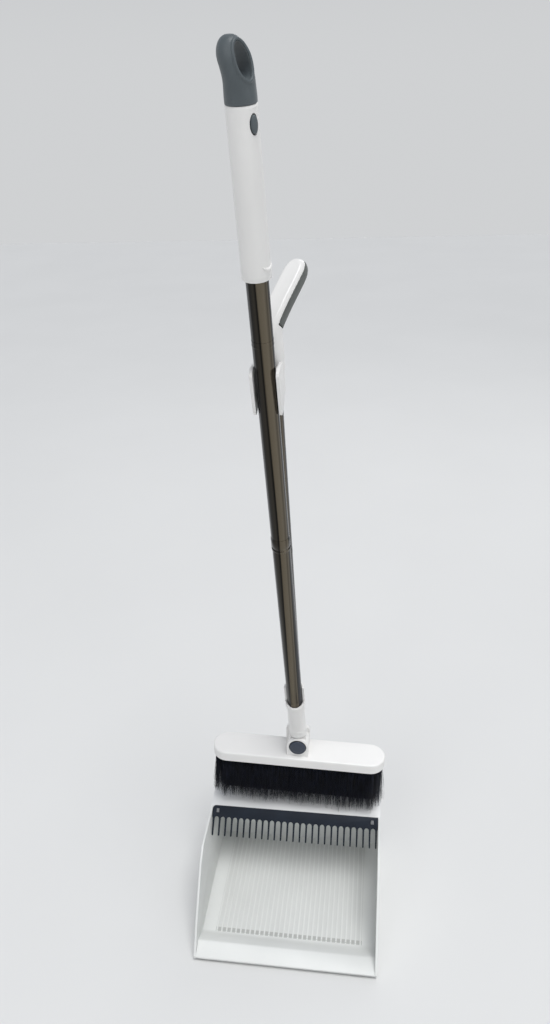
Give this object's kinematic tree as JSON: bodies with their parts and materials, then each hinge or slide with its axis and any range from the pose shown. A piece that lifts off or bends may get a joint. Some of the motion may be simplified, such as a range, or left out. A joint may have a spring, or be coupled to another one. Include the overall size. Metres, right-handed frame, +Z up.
{
  "type": "dustpan and broom set",
  "caption": "Upright dustpan with a hooded tray, comb and long pole, with a long-handled broom that clips to the pole and rests its head over the hood.",
  "frame": {"origin": "on the floor, at the centre of the pan's flat underside", "axes": "+Z up along the height of the set, the pan's mouth faces -Y, +X to the right seen from the mouth"},
  "size_m": [0.2478, 0.259, 1.0605],
  "materials": {
    "white_plastic": "semi-gloss moulded white",
    "slate_soft": "soft-touch dark slate",
    "grey_soft": "soft-touch warm grey",
    "comb_plastic": "satin dark navy",
    "tube_steel": "polished, faintly drawn along its length",
    "fixing_steel": "bright zinc-plated",
    "black_plastic": "satin black",
    "bristle_fibre": "flagged black filaments"
  },
  "bodies": {
    "pan": {"pan_tray": "white_plastic", "pan_hood": "white_plastic", "comb": "comb_plastic", "pan_hinge_pin": "fixing_steel", "pan_hinge_cap_left": "slate_soft", "pan_hinge_cap_right": "slate_soft"},
    "dustpan_pole": {"pan_hinge_washer_left": "black_plastic", "pan_hinge_washer_right": "black_plastic", "pole_yoke": "white_plastic", "yoke_screw": "fixing_steel", "dustpan_tube_lower": "tube_steel", "dustpan_tube_middle": "tube_steel", "dustpan_tube_upper": "tube_steel", "dustpan_plug_lower": "black_plastic", "dustpan_plug_upper": "black_plastic", "dustpan_collar_lower": "tube_steel", "dustpan_collar_upper": "tube_steel", "handle_shell": "white_plastic", "handle_grip": "grey_soft", "broom_clip": "white_plastic", "clip_screw": "fixing_steel"},
    "broom_pole": {"head_socket": "white_plastic", "broom_tube_lower": "tube_steel", "broom_tube_middle": "tube_steel", "broom_tube_upper": "tube_steel", "broom_plug_lower": "black_plastic", "broom_plug_upper": "black_plastic", "broom_collar_lower": "tube_steel", "broom_collar_upper": "tube_steel", "grip_sleeve": "white_plastic", "hanging_loop": "slate_soft", "loop_tab_spring": "fixing_steel"},
    "loop_tab": {"loop_release_tab": "slate_soft"},
    "broom_head": {"head_shell": "white_plastic", "head_pivot_pin": "fixing_steel", "pivot_cap_front": "slate_soft", "pivot_cap_rear": "slate_soft", "bristle_base": "black_plastic", "base_screw_1": "fixing_steel", "base_screw_2": "fixing_steel", "base_screw_3": "fixing_steel", "base_screw_4": "fixing_steel", "bristles": "bristle_fibre"}
  },
  "joints": [
    {"name": "pan_fold", "type": "hinge", "parent": "pan", "child": "dustpan_pole", "pos_m": [0, 0.1255, 0.07], "axis": [1, 0, 0], "range_deg": [-90, 0]},
    {"name": "broom_lift", "type": "slide", "parent": "dustpan_pole", "child": "broom_pole", "axis": [0, -0.8339, 0.5519], "range_m": [0, 0.3]},
    {"name": "head_swivel", "type": "hinge", "parent": "broom_pole", "child": "broom_head", "pos_m": [0.006, 0.06191, 0.23208], "axis": [0, 1, 0], "range_deg": [0, 88.2]},
    {"name": "loop_tab_press", "type": "slide", "parent": "broom_pole", "child": "loop_tab", "axis": [-0.788, 0.6049, 0.1147], "range_m": [0, 0.002], "stiffness_N_per_m": 800}
  ],
  "couplings": [
    {"joint": "head_swivel", "follows": "broom_lift", "rad_per_m": 5.1312}
  ]
}
